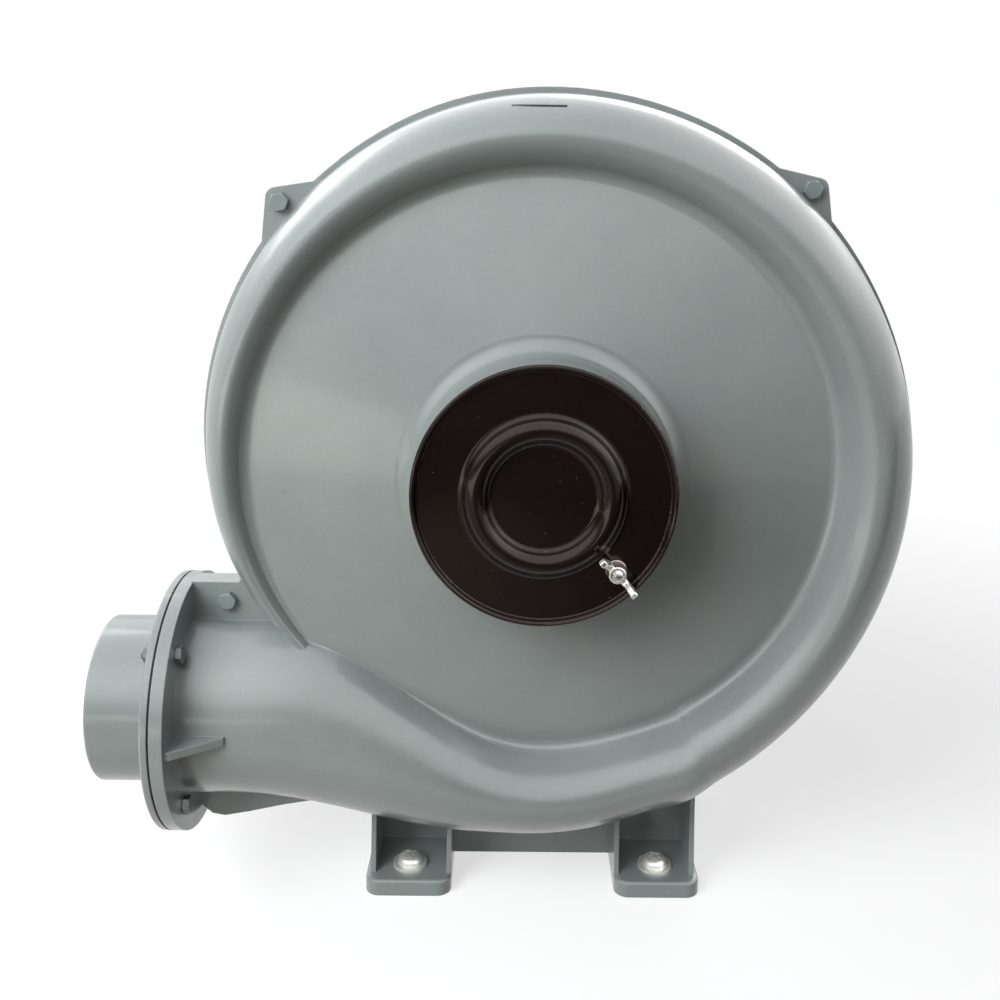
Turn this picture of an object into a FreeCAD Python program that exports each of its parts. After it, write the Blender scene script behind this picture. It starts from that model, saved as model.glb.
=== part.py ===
import FreeCAD, Part
import math
import os

# Direct-driven centrifugal blower with a cast scroll, all lengths in mm.
# Every sub-part is modelled about the shaft line (x = 0, z = 0, along Y, inlet towards -Y,
# y = 0 at the rim of the front face) and then lifted so that the feet stand on z = 0.
V = FreeCAD.Vector

# Height of the shaft line over the floor; the finished frame has y = 0 at the rear foot holes
SHAFT_HEIGHT = 281.0

# Scroll casing
WALL = 5.0
PARTING_Y = 27.0
FACE_R = 175.0
FACE_SLOPE = math.radians(11.8)
NECK_BASE_R = 84.0
NECK_FLARE = 12.0
BACK_Y = 49.0
BACK_WALL = 5.0
CHAMBER_GAP = 5.6
TONGUE_ANGLE = 226.0
SPIRAL = [(226, 182.6), (212, 189.1), (198, 195.1), (180, 199.0), (155, 204.1), (130, 209.1), (103, 215.2),
          (80, 217.1), (50, 219.1), (28, 220.1), (4, 222.58), (-19, 224.35), (-40, 226.68), (-60, 230.5),
          (-75, 233.5), (-90, 236.5)]
LIP_TOP = 3.6
LIP_FOOT = 2.2
LIP_HALF = 3.0
LOBE_T = 8.0
GROOVE_Y = -5.8

# Discharge and outlet flange
TUBE_R = 57.0
TUBE_Z = -156.2
FLANGE_X = -219.8
FLANGE_R = 79.5
FLANGE_T = 7.6
RIB_LENGTH = 30.0
RIB_T = 5.0
GASKET_T = 1.2
OUTLET_BOLT_R = 66.0
SPIGOT_R = 50.8
SPIGOT_WALL = 3.5
SPIGOT_LENGTH = 48.0
SPIGOT_FLANGE_T = 4.5

# Inlet neck and swing damper
NECK_R = 70.5
NECK_FRONT_Y = -51.6
THROAT_R = 46.0
DISH_R = 72.6
DISH_FRONT_Y = -56.3
SHEET = 1.4
BEAD_IN_R = 27.5
BEAD_OUT_R = 47.0
BEAD_H = 6.0
BEAD_CREST_R = 7.0
STUD_X = 40.0
STUD_Z = -40.0
WING_T = 3.6

# Feet
FOOT_X = 80.0
FOOT_W = 54.8
FOOT_T = 10.5
FOOT_FRONT_Y = 5.0
FOOT_WALL_Y = 53.7
FOOT_WALL_T = 9.0
GUSSET_T = 3.2
FOOT_REAR_Y = 150.0
FOOT_HOLE_R = 4.6
FRONT_HOLE_Y = 24.0
REAR_HOLE_Y = 128.0

# Screws
M5 = 2.5
M6 = 3.0
M8 = 4.0
REAR_SCREW_TIP_Y = 12.0
STUD_TIP_Y = -65.0
BOX_BASE_Z = 90.0
COWL_SCREW_ANGLES = (45, 135, 225, 315)
REAR_SCREW_HEAD_Y = 41.0
STUD_ROOT_Y = -38.0
SEAL_R = 22.0
MOTOR_BOLT_TIP_Y = 51.5
FIT = 0.2
RUN = 0.05

# Drive
IMPELLER_R = 160.0
BLADES = 12
BLADE_T = 3.0
EYE_R = 54.5
BACKPLATE_Y = 40.0
SHAFT_R = 12.0
SEAT_R = 11.0
MOTOR_R = 79.0
FRAME_WALL = 8.0
FIN_R = 88.0
FINS = 28
MOTOR_FLANGE_R = 98.0
MOTOR_BOLT_R = 88.5
SHIELD_Y = 62.0
FRAME_Y = 86.0
FRAME_END_Y = 262.0
COWL_R = 91.0
COWL_END_Y = 336.0
STATOR_IN_R = 40.0
AIR_GAP = 0.6
BOX_Y = 170.0

# Bolts through the parting flange (x, z), the first two on ears, and cap screws from behind (angle, radius)
EAR_BOLTS = [(-152.9, 153.0), (152.6, 165.3), (-190.8, -88.0)]
EARS = [[(-165, 120), (-160.6, 160.6), (-128, 166), (-105, 140)],
        [(125, 179), (161.6, 171.2), (166.6, 140), (120, 120)]]
WEB_SCREW = (-186.0, -222.5)
REAR_SCREWS = [(-4.0, 214.0), (-48.0, 218.5), (-92.0, 226.5), (66.0, 210.0), (104.0, 206.0)]

parts = {}


def keep(name, shape):
    """Stores one sub-part under its node name."""
    parts[name] = shape


def polar(radius, angle_deg, y=0.0):
    """Point at a radius and an angle seen from the front, 0 to the right and 90 up."""
    a = math.radians(angle_deg)
    return V(radius * math.cos(a), y, radius * math.sin(a))


def revolve(outline, x=0.0, z=0.0):
    """Full turn about a line along Y through x, z of a closed outline of (radius, y) pairs.

    Straight lines join the pairs; a list of three pairs within the outline is the arc through them.
    """
    runs = [item if isinstance(item, list) else [item] for item in outline]
    edges = []
    for run, following in zip(runs, runs[1:] + runs[:1]):
        points = [V(r, y, 0) for r, y in run]
        if len(points) == 3:
            edges.append(Part.Arc(*points).toShape())
        start = V(following[0][0], following[0][1], 0)
        if start.distanceToPoint(points[-1]) > 1e-6:
            edges.append(Part.makeLine(points[-1], start))
    solid = Part.Face(Part.Wire(edges)).revolve(V(0, 0, 0), V(0, 1, 0), 360)
    solid.translate(V(x, 0, z))
    return solid


def quarter(radius, y, size):
    """Hollow quarter arc from a neck in to the surface at that radius and y, as three (radius, y) pairs."""
    middle = size * (1 - math.sqrt(0.5))
    return [(radius - size, y - size), (radius - size + middle, y - middle), (radius, y)]


def rod(radius, y0, y1, x=0.0, z=0.0):
    """Round bar along Y between two planes."""
    return Part.makeCylinder(radius, y1 - y0, V(x, y0, z), V(0, 1, 0))


def tube(outer, inner, y0, y1, x=0.0, z=0.0):
    return rod(outer, y0, y1, x, z).cut(rod(inner, y0 - 1, y1 + 1, x, z))


def box(x0, x1, y0, y1, z0, z1):
    return Part.makeBox(x1 - x0, y1 - y0, z1 - z0, V(x0, y0, z0))


def prism(points, y0, y1):
    """Outline of (x, z) pairs extruded along Y."""
    wire = Part.makePolygon([V(x, y0, z) for x, z in points] + [V(points[0][0], y0, points[0][1])])
    return Part.Face(wire).extrude(V(0, y1 - y0, 0))


def hexagon(across_flats, y0, y1, x=0.0, z=0.0, turn=0.0):
    """Hexagonal prism along Y."""
    corner = across_flats / math.sqrt(3)
    points = []
    for i in range(6):
        a = math.radians(60 * i + turn)
        points.append((x + corner * math.cos(a), z + corner * math.sin(a)))
    return prism(points, y0, y1)


def hex_head(across_flats, y0, y1, x=0.0, z=0.0, turn=0.0):
    """Hexagon of a bolt head or nut, its corners chamfered at 30 degrees towards both faces."""
    face = 0.475 * across_flats
    reach = 0.60 * across_flats
    slope = (reach - face) * math.tan(math.radians(30))
    cone = revolve([(0, y0), (face, y0), (reach, y0 + slope), (reach, y1 - slope), (face, y1), (0, y1)], x, z)
    return hexagon(across_flats, y0, y1, x, z, turn).common(cone)


def turn_to(shape, direction, base):
    """Takes a shape built along +Y at the origin to a base point and another direction."""
    turned = shape.copy()
    place = FreeCAD.Placement(base, FreeCAD.Rotation(V(0, 1, 0), direction))
    turned.Placement = place.multiply(turned.Placement)
    return turned


def fuse(shapes):
    whole = shapes[0].multiFuse(shapes[1:]) if len(shapes) > 1 else shapes[0]
    return whole.removeSplitter()


def spiral(angle_deg):
    """Outer radius of the scroll at the parting plane, read off a smooth curve through the table."""
    for i in range(len(SPIRAL) - 1):
        (a0, r0), (a1, r1) = SPIRAL[i], SPIRAL[i + 1]
        if a0 >= angle_deg >= a1:
            before, after = SPIRAL[max(i - 1, 0)], SPIRAL[min(i + 2, len(SPIRAL) - 1)]
            slope0 = (r1 - before[1]) / (a1 - before[0])
            slope1 = (after[1] - r0) / (after[0] - a0)
            span = a1 - a0
            t = (angle_deg - a0) / span
            h0 = 1 - 3 * t * t + 2 * t ** 3
            h1 = t - 2 * t * t + t ** 3
            h2 = t ** 3 - t * t
            return h0 * r0 + h1 * slope0 * span + (1 - h0) * r1 + h2 * slope1 * span
    return SPIRAL[-1][1]


def bead_outline(inner, width, half_depth):
    """Front half outline of the scroll as (distance from shaft, y) pairs, from face rim to parting plane.

    The bead rises steeply from the face rim, has its crest at a third of its width and
    rolls over to the parting plane.
    """
    lift = half_depth - PARTING_Y
    return [(inner, 0.0),
            (inner + 0.11 * width, -0.60 * lift),
            (inner + 0.36 * width, -lift),
            (inner + 0.70 * width, PARTING_Y - 0.84 * half_depth),
            (inner + 0.93 * width, PARTING_Y - 0.47 * half_depth),
            (inner + width, PARTING_Y)]


def closed_section(points, square_to, inset, edge_shift):
    """Wire from the front half outline, its mirror image behind the parting plane and the inner edge.

    With an inset the outline is moved inwards by that wall, and its two ends by edge_shift.
    """
    rear = [V(p.x, 2 * PARTING_Y - p.y, p.z) for p in reversed(points[:-1])]
    curve = Part.BSplineCurve()
    curve.interpolate(points + rear)
    if inset:
        moved = []
        for p in points:
            tangent = curve.tangent(curve.parameter(p))[0]
            inward = tangent.cross(square_to)
            inward.normalize()
            moved.append(p + inward * inset)
        moved[0] = points[0] + edge_shift
        moved[-1].y = PARTING_Y
        rear = [V(p.x, 2 * PARTING_Y - p.y, p.z) for p in reversed(moved[:-1])]
        curve = Part.BSplineCurve()
        curve.interpolate(moved + rear)
    inner = Part.makeLine(curve.EndPoint, curve.StartPoint)
    return Part.Wire([curve.toShape(), inner])


def scroll_section(angle_deg, inset):
    width = spiral(angle_deg) - FACE_R
    outline = bead_outline(FACE_R, width, 27.5 + 0.46 * width)
    outward = polar(1.0, angle_deg)
    across = V(0, 1, 0).cross(outward)
    points = [polar(r, angle_deg, y) for r, y in outline]
    return closed_section(points, across, inset, outward * 2.0 + V(0, CHAMBER_GAP, 0))


def discharge_section(x, inset):
    """Section of the discharge on a plane square to X, between the scroll and the round tube."""
    t = min(1.0, max(0.0, -x / 185.0))
    blend = t * t * (3 - 2 * t)
    rim = math.sqrt(max(FACE_R ** 2 - x ** 2, 100.0 ** 2))
    scroll_r = spiral(-90)
    sink = min(1.0, max(0.0, (-x - 42.0) / 145.0))
    bottom = -scroll_r + (scroll_r + TUBE_Z - TUBE_R) * sink * sink * (3 - 2 * sink)
    ring = bead_outline(rim, -rim - bottom, 27.5 + 0.46 * (scroll_r - FACE_R))
    points = []
    for (r, y), a in zip(ring, (75, 47, 12, -25, -58, -90)):
        c = math.radians(a)
        round_y = PARTING_Y - TUBE_R * math.cos(c)
        round_z = TUBE_Z + TUBE_R * math.sin(c) + (bottom - TUBE_Z + TUBE_R) * (1 - math.sin(c)) / 2
        points.append(V(x, y + (round_y - y) * blend, -r + (round_z + r) * blend))
    shift = V(0, CHAMBER_GAP, -2.0) * (1 - blend) + V(0, 1.3, -4.8) * blend
    return closed_section(points, V(-1, 0, 0), inset, shift)


def scroll_solid(inset, end_x):
    """Spiral bead from the tongue round to the discharge, solid, with the outline inset by the wall."""
    angles = [178, 158, 138, 118, 98, 78, 58, 38, 18, -2, -20, -36, -48, -60]
    angles = ([206, 194] if inset else [226, 212, 196]) + angles
    ring = Part.makeLoft([scroll_section(a, inset) for a in angles], True, False)
    lower = [scroll_section(a, inset) for a in (-60, -70, -80)]
    stations = (0, -25, -50, -75, -100, -125, -150, -172, -190, end_x)
    lower = lower + [discharge_section(x, inset) for x in stations]
    run = Part.makeLoft(lower, True, False)
    return ring, run


def face_y(radius):
    """Front surface of the conical face at a distance from the shaft."""
    return -(FACE_R - radius) * math.tan(FACE_SLOPE)


def drum_solid():
    """Central body with the conical face, the inlet neck and the flat back."""
    flare = quarter(NECK_BASE_R, face_y(NECK_BASE_R), NECK_FLARE)
    edge = FACE_R + 0.5
    back = BACK_Y + BACK_WALL
    outline = [(0, NECK_FRONT_Y), (NECK_R - 1.5, NECK_FRONT_Y), (NECK_R, NECK_FRONT_Y + 1.5)]
    outline = outline + [flare, (edge, face_y(edge)), (edge, back), (0, back)]
    return revolve(outline)


def chamber_solid():
    """Room of the impeller, its throat and the pocket behind the neck."""
    inner_r = FACE_R + 4.0
    neck_in = NECK_R - WALL - 0.5
    chamber = revolve([(0, face_y(neck_in) + WALL), (neck_in, face_y(neck_in) + WALL),
                       (inner_r, face_y(inner_r) + WALL), (inner_r, BACK_Y), (0, BACK_Y)])
    throat = rod(THROAT_R, NECK_FRONT_Y - 1, 0)
    pocket = tube(neck_in, THROAT_R + 4, NECK_FRONT_Y + 5, -8)
    return chamber, throat, pocket


def front_half():
    return box(-400, 400, -200, PARTING_Y, -400, 400)


def ear(outline, y0, y1):
    """Flat ear of the parting flange with one rounded outer corner, running into the casing."""
    plate = prism(outline, y0, y1)
    corner = V(outline[1][0], y0, outline[1][1])
    away = V(outline[1][0], y1, outline[1][1])
    edges = [e for e in plate.Edges
             if sorted(round(v.Point.sub(corner).Length, 1) for v in e.Vertexes) == [0, round(y1 - y0, 1)]
             and min(v.Point.sub(away).Length for v in e.Vertexes) < 0.1]
    return plate.makeFillet(6.0, edges)


def web_plates(y0, y1):
    """Flat webs of the parting flange above and below the discharge tube."""
    upper = prism([(-213, -76.5), (-184, -76.5), (-176, -60), (-150, -60), (-140, -150), (-213, -150)],
                  y0, y1)
    lower = prism([(-213, -226), (-206, -232.5), (-198, -234), (-182, -231), (-160, -226), (-140, -222.5),
                   (-120, -219.5), (-120, -190), (-213, -190)], y0, y1)
    return upper, lower


def rim_band(y0, y1):
    """Narrow parting flange that follows the outside of the scroll, narrower towards the feet."""
    points = []
    for i in range(73):
        angle = TONGUE_ANGLE - 12 - i * (286 - 12) / 72.0
        low = min(1.0, max(0.0, (28 - angle) / 88.0))
        p = polar(spiral(angle) + LIP_TOP + (LIP_FOOT - LIP_TOP) * low, angle)
        points.append(V(p.x, y0, p.z))
    curve = Part.BSplineCurve()
    curve.interpolate(points[::4])
    centre = V(0, y0, 0)
    wire = Part.Wire([curve.toShape(), Part.makeLine(points[-1], centre), Part.makeLine(centre, points[0])])
    return Part.Face(wire).extrude(V(0, y1 - y0, 0)).cut(rod(FACE_R + 2, y0 - 1, y1 + 1))


def casing():
    """Front cover and rear casing of the scroll, hollow, with their flanges, bosses and holes."""
    ring, run = scroll_solid(0, FLANGE_X)
    outer = drum_solid().fuse(ring).fuse(run)
    ring_in, run_in = scroll_solid(WALL, FLANGE_X - 1)
    chamber, throat, pocket = chamber_solid()
    cavity = chamber.fuse(ring_in).fuse(run_in).fuse(throat)
    front_box = front_half()
    flange = Part.makeCylinder(FLANGE_R, FLANGE_T, V(FLANGE_X, PARTING_Y, TUBE_Z), V(1, 0, 0))

    front = outer.common(front_box)
    band = rim_band(PARTING_Y - LIP_HALF, PARTING_Y)
    for added in [flange.common(front_box), flange_rib(-1), band] + lobes(PARTING_Y - LOBE_T, PARTING_Y):
        front = front.fuse(added)
    front = front.cut(cavity)
    rear = outer.cut(front_box)
    band = rim_band(PARTING_Y, PARTING_Y + LIP_HALF)
    for added in [flange.cut(front_box), flange_rib(1), band] + lobes(PARTING_Y, PARTING_Y + LOBE_T):
        rear = rear.fuse(added)
    rear = rear.cut(cavity)

    for x, z in EAR_BOLTS[:2]:
        front = front.fuse(rod(12.0, PARTING_Y - 24, PARTING_Y, x, z).common(outer))
        rear = rear.fuse(rod(12.0, PARTING_Y, PARTING_Y + 24, x, z).common(outer))
    for angle, radius in REAR_SCREWS:
        p = polar(radius, angle)
        front = front.fuse(rod(8.5, PARTING_Y - 26, PARTING_Y, p.x, p.z).common(outer))
        rear = rear.fuse(rod(8.5, PARTING_Y, PARTING_Y + 26, p.x, p.z).common(outer))
    front = front.cut(pocket).fuse(rod(9.0, NECK_FRONT_Y, NECK_FRONT_Y + 20, STUD_X, STUD_Z)).cut(throat)
    front = front.cut(rod(M6, NECK_FRONT_Y - 1, STUD_ROOT_Y, STUD_X, STUD_Z))
    front = front.cut(box(-20.6, 9.4, -40, GROOVE_Y, 206.2, 207.4))
    rear = rear.fuse(tube(MOTOR_FLANGE_R, SHAFT_R + 30, BACK_Y + 2, SHIELD_Y))
    keep("casing_foot", foot_casting().cut(outer).cut(rim_band(PARTING_Y - LIP_HALF, PARTING_Y + LIP_HALF)))

    for x, z in EAR_BOLTS:
        spot = 8.2 if (x, z) in EAR_BOLTS[:2] else 7.0
        front = front.cut(rod(spot, -90, PARTING_Y - 8, x, z)).cut(rod(M6 + FIT, -20, 80, x, z))
        rear = rear.cut(rod(spot, PARTING_Y + 8, 140, x, z)).cut(rod(M6 + FIT, -20, 80, x, z))
    front = front.cut(rod(M6, PARTING_Y - 6.5, PARTING_Y + 1, WEB_SCREW[0], WEB_SCREW[1]))
    rear = rear.cut(rod(M6 + FIT, PARTING_Y - 1, PARTING_Y + 9, WEB_SCREW[0], WEB_SCREW[1]))
    rear = rear.cut(rod(7.0, PARTING_Y + 8, 140, WEB_SCREW[0], WEB_SCREW[1]))
    for angle, radius in REAR_SCREWS:
        p = polar(radius, angle)
        front = front.cut(rod(M6, REAR_SCREW_TIP_Y, PARTING_Y + 1, p.x, p.z))
        rear = rear.cut(rod(M6 + FIT, PARTING_Y - 1, 120, p.x, p.z))
        rear = rear.cut(rod(6.0, REAR_SCREW_HEAD_Y, 120, p.x, p.z))
    for y, z in outlet_bolt_points():
        hole = Part.makeCylinder(M6 + FIT, 30, V(FLANGE_X - 5, y, z), V(1, 0, 0))
        spot = Part.makeCylinder(6.6, 12, V(FLANGE_X + FLANGE_T, y, z), V(1, 0, 0))
        front = front.cut(hole).cut(spot)
        rear = rear.cut(hole).cut(spot)
    rear = rear.cut(rod(SEAL_R, BACK_Y - 5, BACK_Y + BACK_WALL + 20))
    for x, z in motor_bolt_points():
        rear = rear.cut(rod(M8, MOTOR_BOLT_TIP_Y, SHIELD_Y + 1, x, z))
    keep("front_cover", front.removeSplitter())
    keep("rear_casing", rear.removeSplitter())


def lobes(y0, y1):
    """Webs at the discharge and the two upper ears of the parting flange, between two planes."""
    return list(web_plates(y0, y1)) + [ear(outline, y0, y1) for outline in EARS]


def flange_rib(side):
    """Tapered rib between the outlet flange and the discharge tube, in front or behind."""
    root = PARTING_Y + side * (TUBE_R - 4)
    low = PARTING_Y + side * (TUBE_R + 1.5)
    tip = PARTING_Y + side * (FLANGE_R - 3)
    x0 = FLANGE_X + FLANGE_T - 1
    x1 = x0 + RIB_LENGTH
    outline = [(x0, root), (x0, tip), (x0 + 4, tip), (x1, low), (x1, root)]
    points = [V(x, y, TUBE_Z - RIB_T / 2) for x, y in outline + outline[:1]]
    return Part.Face(Part.makePolygon(points)).extrude(V(0, 0, RIB_T))


def motor_bolt_points():
    points = [polar(MOTOR_BOLT_R, angle) for angle in (45, 135, 225, 315)]
    return [(p.x, p.z) for p in points]


def outlet_bolt_points():
    points = [polar(OUTLET_BOLT_R, angle) for angle in (47, 133, 227, 313)]
    return [(PARTING_Y + p.x, TUBE_Z + p.z) for p in points]


def foot_casting():
    """Wall under the scroll with two pads in front of it and two behind, and their gussets."""
    x_out = FOOT_X + FOOT_W / 2
    x_in = FOOT_X - FOOT_W / 2
    floor = -SHAFT_HEIGHT
    wall = prism([(-x_out + 4, floor), (x_out - 4, floor), (x_out - 4, -150), (-x_out + 4, -150)],
                 FOOT_WALL_Y, FOOT_WALL_Y + FOOT_WALL_T)
    shapes = [wall]
    for side in (-1, 1):
        pad = box(x_in, x_out, FOOT_FRONT_Y, FOOT_REAR_Y, floor, floor + FOOT_T)
        corners = [e for e in pad.Edges if abs(e.Vertexes[0].Z - e.Vertexes[-1].Z) > FOOT_T - 1]
        pad = pad.makeFillet(9.0, corners)
        rim = [e for e in pad.Edges if min(v.Z for v in e.Vertexes) > floor + FOOT_T - 0.1]
        pad = pad.makeFillet(2.2, rim)
        if side < 0:
            pad = pad.mirror(V(0, 0, 0), V(1, 0, 0))
        shapes.append(pad)
        for x in (x_in, x_out - 3 - GUSSET_T):
            x0 = side * x if side > 0 else side * x - GUSSET_T
            outline = [V(x0, FOOT_FRONT_Y + 9, floor + FOOT_T - 1),
                       V(x0, FOOT_REAR_Y - 9, floor + FOOT_T - 1),
                       V(x0, FOOT_WALL_Y + FOOT_WALL_T + 12, -150),
                       V(x0, 30, -150),
                       V(x0, 22, -228)]
            gusset = Part.Face(Part.makePolygon(outline + [outline[0]])).extrude(V(GUSSET_T, 0, 0))
            shapes.append(gusset)
    feet = fuse(shapes)
    feet = feet.cut(rod(FACE_R + 15, 0, 400))
    for side in (-1, 1):
        for y in (FRONT_HOLE_Y, REAR_HOLE_Y):
            hole = Part.makeCylinder(FOOT_HOLE_R, FOOT_T + 2, V(side * FOOT_X, y, floor - 1), V(0, 0, 1))
            feet = feet.cut(hole)
    return feet


def along_x(shape, x0, x1, y, z):
    """Solid of revolution built along +Y from the origin, laid along X between two planes."""
    direction = V(1 if x1 > x0 else -1, 0, 0)
    return turn_to(shape, direction, V(x0, y, z))


def ring_x(outer, inner, x0, x1):
    """Ring about the discharge line between two planes square to X."""
    low = min(x0, x1)
    length = abs(x1 - x0)
    body = Part.makeCylinder(outer, length, V(low, PARTING_Y, TUBE_Z), V(1, 0, 0))
    return body.cut(Part.makeCylinder(inner, length + 2, V(low - 1, PARTING_Y, TUBE_Z), V(1, 0, 0)))


def outlet():
    """Gasket, spigot, bolts and nuts of the discharge."""
    holes = [Part.makeCylinder(M6 + FIT, 40, V(FLANGE_X - 30, y, z), V(1, 0, 0))
             for y, z in outlet_bolt_points()]
    gasket_x = FLANGE_X - GASKET_T
    keep("outlet_gasket", ring_x(FLANGE_R - 0.8, TUBE_R - WALL, FLANGE_X, gasket_x).cut(holes))
    back_x = gasket_x - SPIGOT_FLANGE_T
    bore = SPIGOT_R - SPIGOT_WALL
    length = SPIGOT_LENGTH - GASKET_T
    root = SPIGOT_FLANGE_T
    flare = [(SPIGOT_R + 4, root), (SPIGOT_R + 1.2, root + 1.2), (SPIGOT_R, root + 4)]
    lip = [(SPIGOT_R, length - 1.6), (SPIGOT_R - 0.5, length - 0.5), (SPIGOT_R - 1.6, length)]
    outline = [(bore, 14), (TUBE_R - WALL, 0), (FLANGE_R, 0), (FLANGE_R, SPIGOT_FLANGE_T - 1)]
    outline = outline + [(FLANGE_R - 1, SPIGOT_FLANGE_T), flare, lip, (bore, length)]
    keep("outlet_spigot", along_x(revolve(outline), gasket_x, gasket_x - 1, PARTING_Y, TUBE_Z).cut(holes))
    bolts, nuts = [], []
    head_x = FLANGE_X + FLANGE_T
    for y, z in outlet_bolt_points():
        bolt = rod(M6, -4, head_x - back_x + 6.5).fuse(hex_head(10.0, -4.0, 0))
        bolts.append(turn_to(bolt, V(-1, 0, 0), V(head_x, y, z)))
        nut = hex_head(10.0, 0, 5.0).cut(rod(M6, -1, 6))
        nuts.append(turn_to(nut, V(-1, 0, 0), V(back_x, y, z)))
    keep("outlet_bolts", Part.makeCompound(bolts))
    keep("outlet_nuts", Part.makeCompound(nuts))


def casing_screws():
    """Hex bolts and nuts at the ears, and cap screws from behind."""
    bolts, nuts, caps = [], [], []
    front_y, back_y = PARTING_Y - 8, PARTING_Y + 8
    for x, z in EAR_BOLTS:
        head = hex_head(10.0, front_y - 4.2, front_y, x, z, 12)
        bolts.append(head.fuse(rod(M6, front_y - 1, back_y + 7, x, z)))
        nuts.append(hex_head(10.0, back_y, back_y + 5, x, z, 20).cut(rod(M6, back_y - 1, back_y + 6, x, z)))
    for angle, radius in REAR_SCREWS:
        p = polar(radius, angle)
        head = rod(5.0, REAR_SCREW_HEAD_Y, REAR_SCREW_HEAD_Y + 6, p.x, p.z)
        head = head.cut(hexagon(5.0, REAR_SCREW_HEAD_Y + 3, REAR_SCREW_HEAD_Y + 7, p.x, p.z))
        caps.append(head.fuse(rod(M6, REAR_SCREW_TIP_Y + 1, REAR_SCREW_HEAD_Y, p.x, p.z)))
    x, z = WEB_SCREW
    head = hex_head(10.0, back_y, back_y + 4.2, x, z, 10)
    bolts.append(head.fuse(rod(M6, PARTING_Y - 6, back_y + 1, x, z)))
    keep("cover_bolts", Part.makeCompound(bolts))
    keep("cover_nuts", Part.makeCompound(nuts))
    keep("cover_cap_screws", Part.makeCompound(caps))


def foot_screws():
    """Pan-head screws with a cross recess and their washers on the two front pads."""
    screws, washers = [], []
    top = -SHAFT_HEIGHT + FOOT_T
    for side in (-1, 1):
        side_arc = [(8.0, 1.4), (7.2, 3.5), (5.4, 4.8)]
        crown_arc = [(5.4, 4.8), (2.8, 5.7), (0, 6.0)]
        screw = revolve([(0, 0), (8.0, 0), side_arc, crown_arc])
        screw = screw.fuse(rod(M8, -FOOT_T - 1.4, 0))
        for turn in (35, 125):
            slot = box(-4.2, 4.2, 2.9, 7, -0.85, 0.85)
            slot.rotate(V(0, 0, 0), V(0, 1, 0), turn)
            screw = screw.cut(slot)
        screws.append(turn_to(screw, V(0, 0, 1), V(side * FOOT_X, FRONT_HOLE_Y, top + 1.8)))
        washer = tube(11.0, M8 + FIT, 0, 1.8)
        washers.append(turn_to(washer, V(0, 0, 1), V(side * FOOT_X, FRONT_HOLE_Y, top)))
    keep("foot_screws", Part.makeCompound(screws))
    keep("foot_washers", Part.makeCompound(washers))


def bead(y, crest, root):
    """Arcs of the raised ring in the dish, from its inner to its outer root, forward of the plane y."""
    flank = 2 * math.atan(2 * BEAD_H / (BEAD_OUT_R - BEAD_IN_R))
    middle = (BEAD_IN_R + BEAD_OUT_R) / 2

    def arc(centre_r, centre_y, radius, start, end):
        angles = (start, (start + end) / 2, end)
        return [(centre_r + radius * math.sin(a), centre_y + radius * math.cos(a)) for a in angles]

    return [arc(BEAD_IN_R, y - root, root, 0, flank),
            arc(middle, y - BEAD_H + crest, crest, math.pi + flank, math.pi - flank),
            arc(BEAD_OUT_R, y - root, root, -flank, 0)]


def bead_root_r():
    """Root radius that lets the flanks run straight from the crest arc into the flat of the dish."""
    half = (BEAD_OUT_R - BEAD_IN_R) / 2
    flank = 2 * math.atan(BEAD_H / half)
    return half / math.sin(flank) - BEAD_CREST_R


def mirrored(arcs):
    """The same arcs run through from the other end."""
    return [list(reversed(arc)) for arc in reversed(arcs)]


def damper():
    """Pressed dish over the inlet, its stud, washer and wing nut."""
    back = NECK_FRONT_Y - 0.3
    plate = back - SHEET
    front = DISH_FRONT_Y
    outline = [(0, back)] + bead(back, BEAD_CREST_R - SHEET, bead_root_r() + SHEET)
    outline = outline + [(DISH_R - 1.2, back), (DISH_R, back - 1.2),
                         [(DISH_R, front + 1.4), (DISH_R - 0.41, front + 0.41), (DISH_R - 1.4, front)],
                         [(DISH_R - 1.4, front), (DISH_R - 2.4, front + 0.5), (DISH_R - 2.9, front + 1.4)],
                         [(DISH_R - 3.1, plate - 1.2), (DISH_R - 3.5, plate - 0.35), (DISH_R - 4.4, plate)]]
    outline = outline + mirrored(bead(plate, BEAD_CREST_R, bead_root_r())) + [(0, plate)]
    dish = revolve(outline).cut(rod(M6 + RUN, -70, -40, STUD_X, STUD_Z))
    keep("damper_dish", dish)
    keep("damper_stud", rod(M6, STUD_TIP_Y, STUD_ROOT_Y, STUD_X, STUD_Z))
    base = plate - 1.5
    keep("stud_washer", tube(5.7, M6 + RUN, base, plate - 0.3, STUD_X, STUD_Z))
    hub = revolve([(M6 + RUN, base), (5.6, base), (5.6, base - 1.6), (5.2, base - 2.4), (4.7, base - 8.6),
                   (M6 + RUN, base - 8.6)])
    wings = []
    for side in (1, -1):
        ys = [(3.4, -1.6), (6.4, -2.0), (9.4, -5.2), (13.2, -10.2), (14.2, -13.4), (13.0, -15.8),
              (10.6, -15.6), (8.2, -12.2), (6.2, -8.6), (3.4, -7.8)]
        wire = Part.makePolygon([V(side * x, base + y, -WING_T / 2) for x, y in ys + ys[:1]])
        wing = Part.Face(wire).extrude(V(0, 0, WING_T))
        sides = [e for e in wing.Edges if e.Length > 3.0 and abs(e.Vertexes[0].Z - e.Vertexes[1].Z) < 0.1]
        wings.append(wing.makeFillet(0.8, sides))
    nut = hub.fuse(wings[0]).fuse(wings[1]).cut(rod(M6 + RUN, base - 20, base + 2))
    nut.rotate(V(0, 0, 0), V(0, 1, 0), 46)
    nut.translate(V(STUD_X, 0, STUD_Z))
    keep("wing_nut", nut.removeSplitter())


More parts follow.
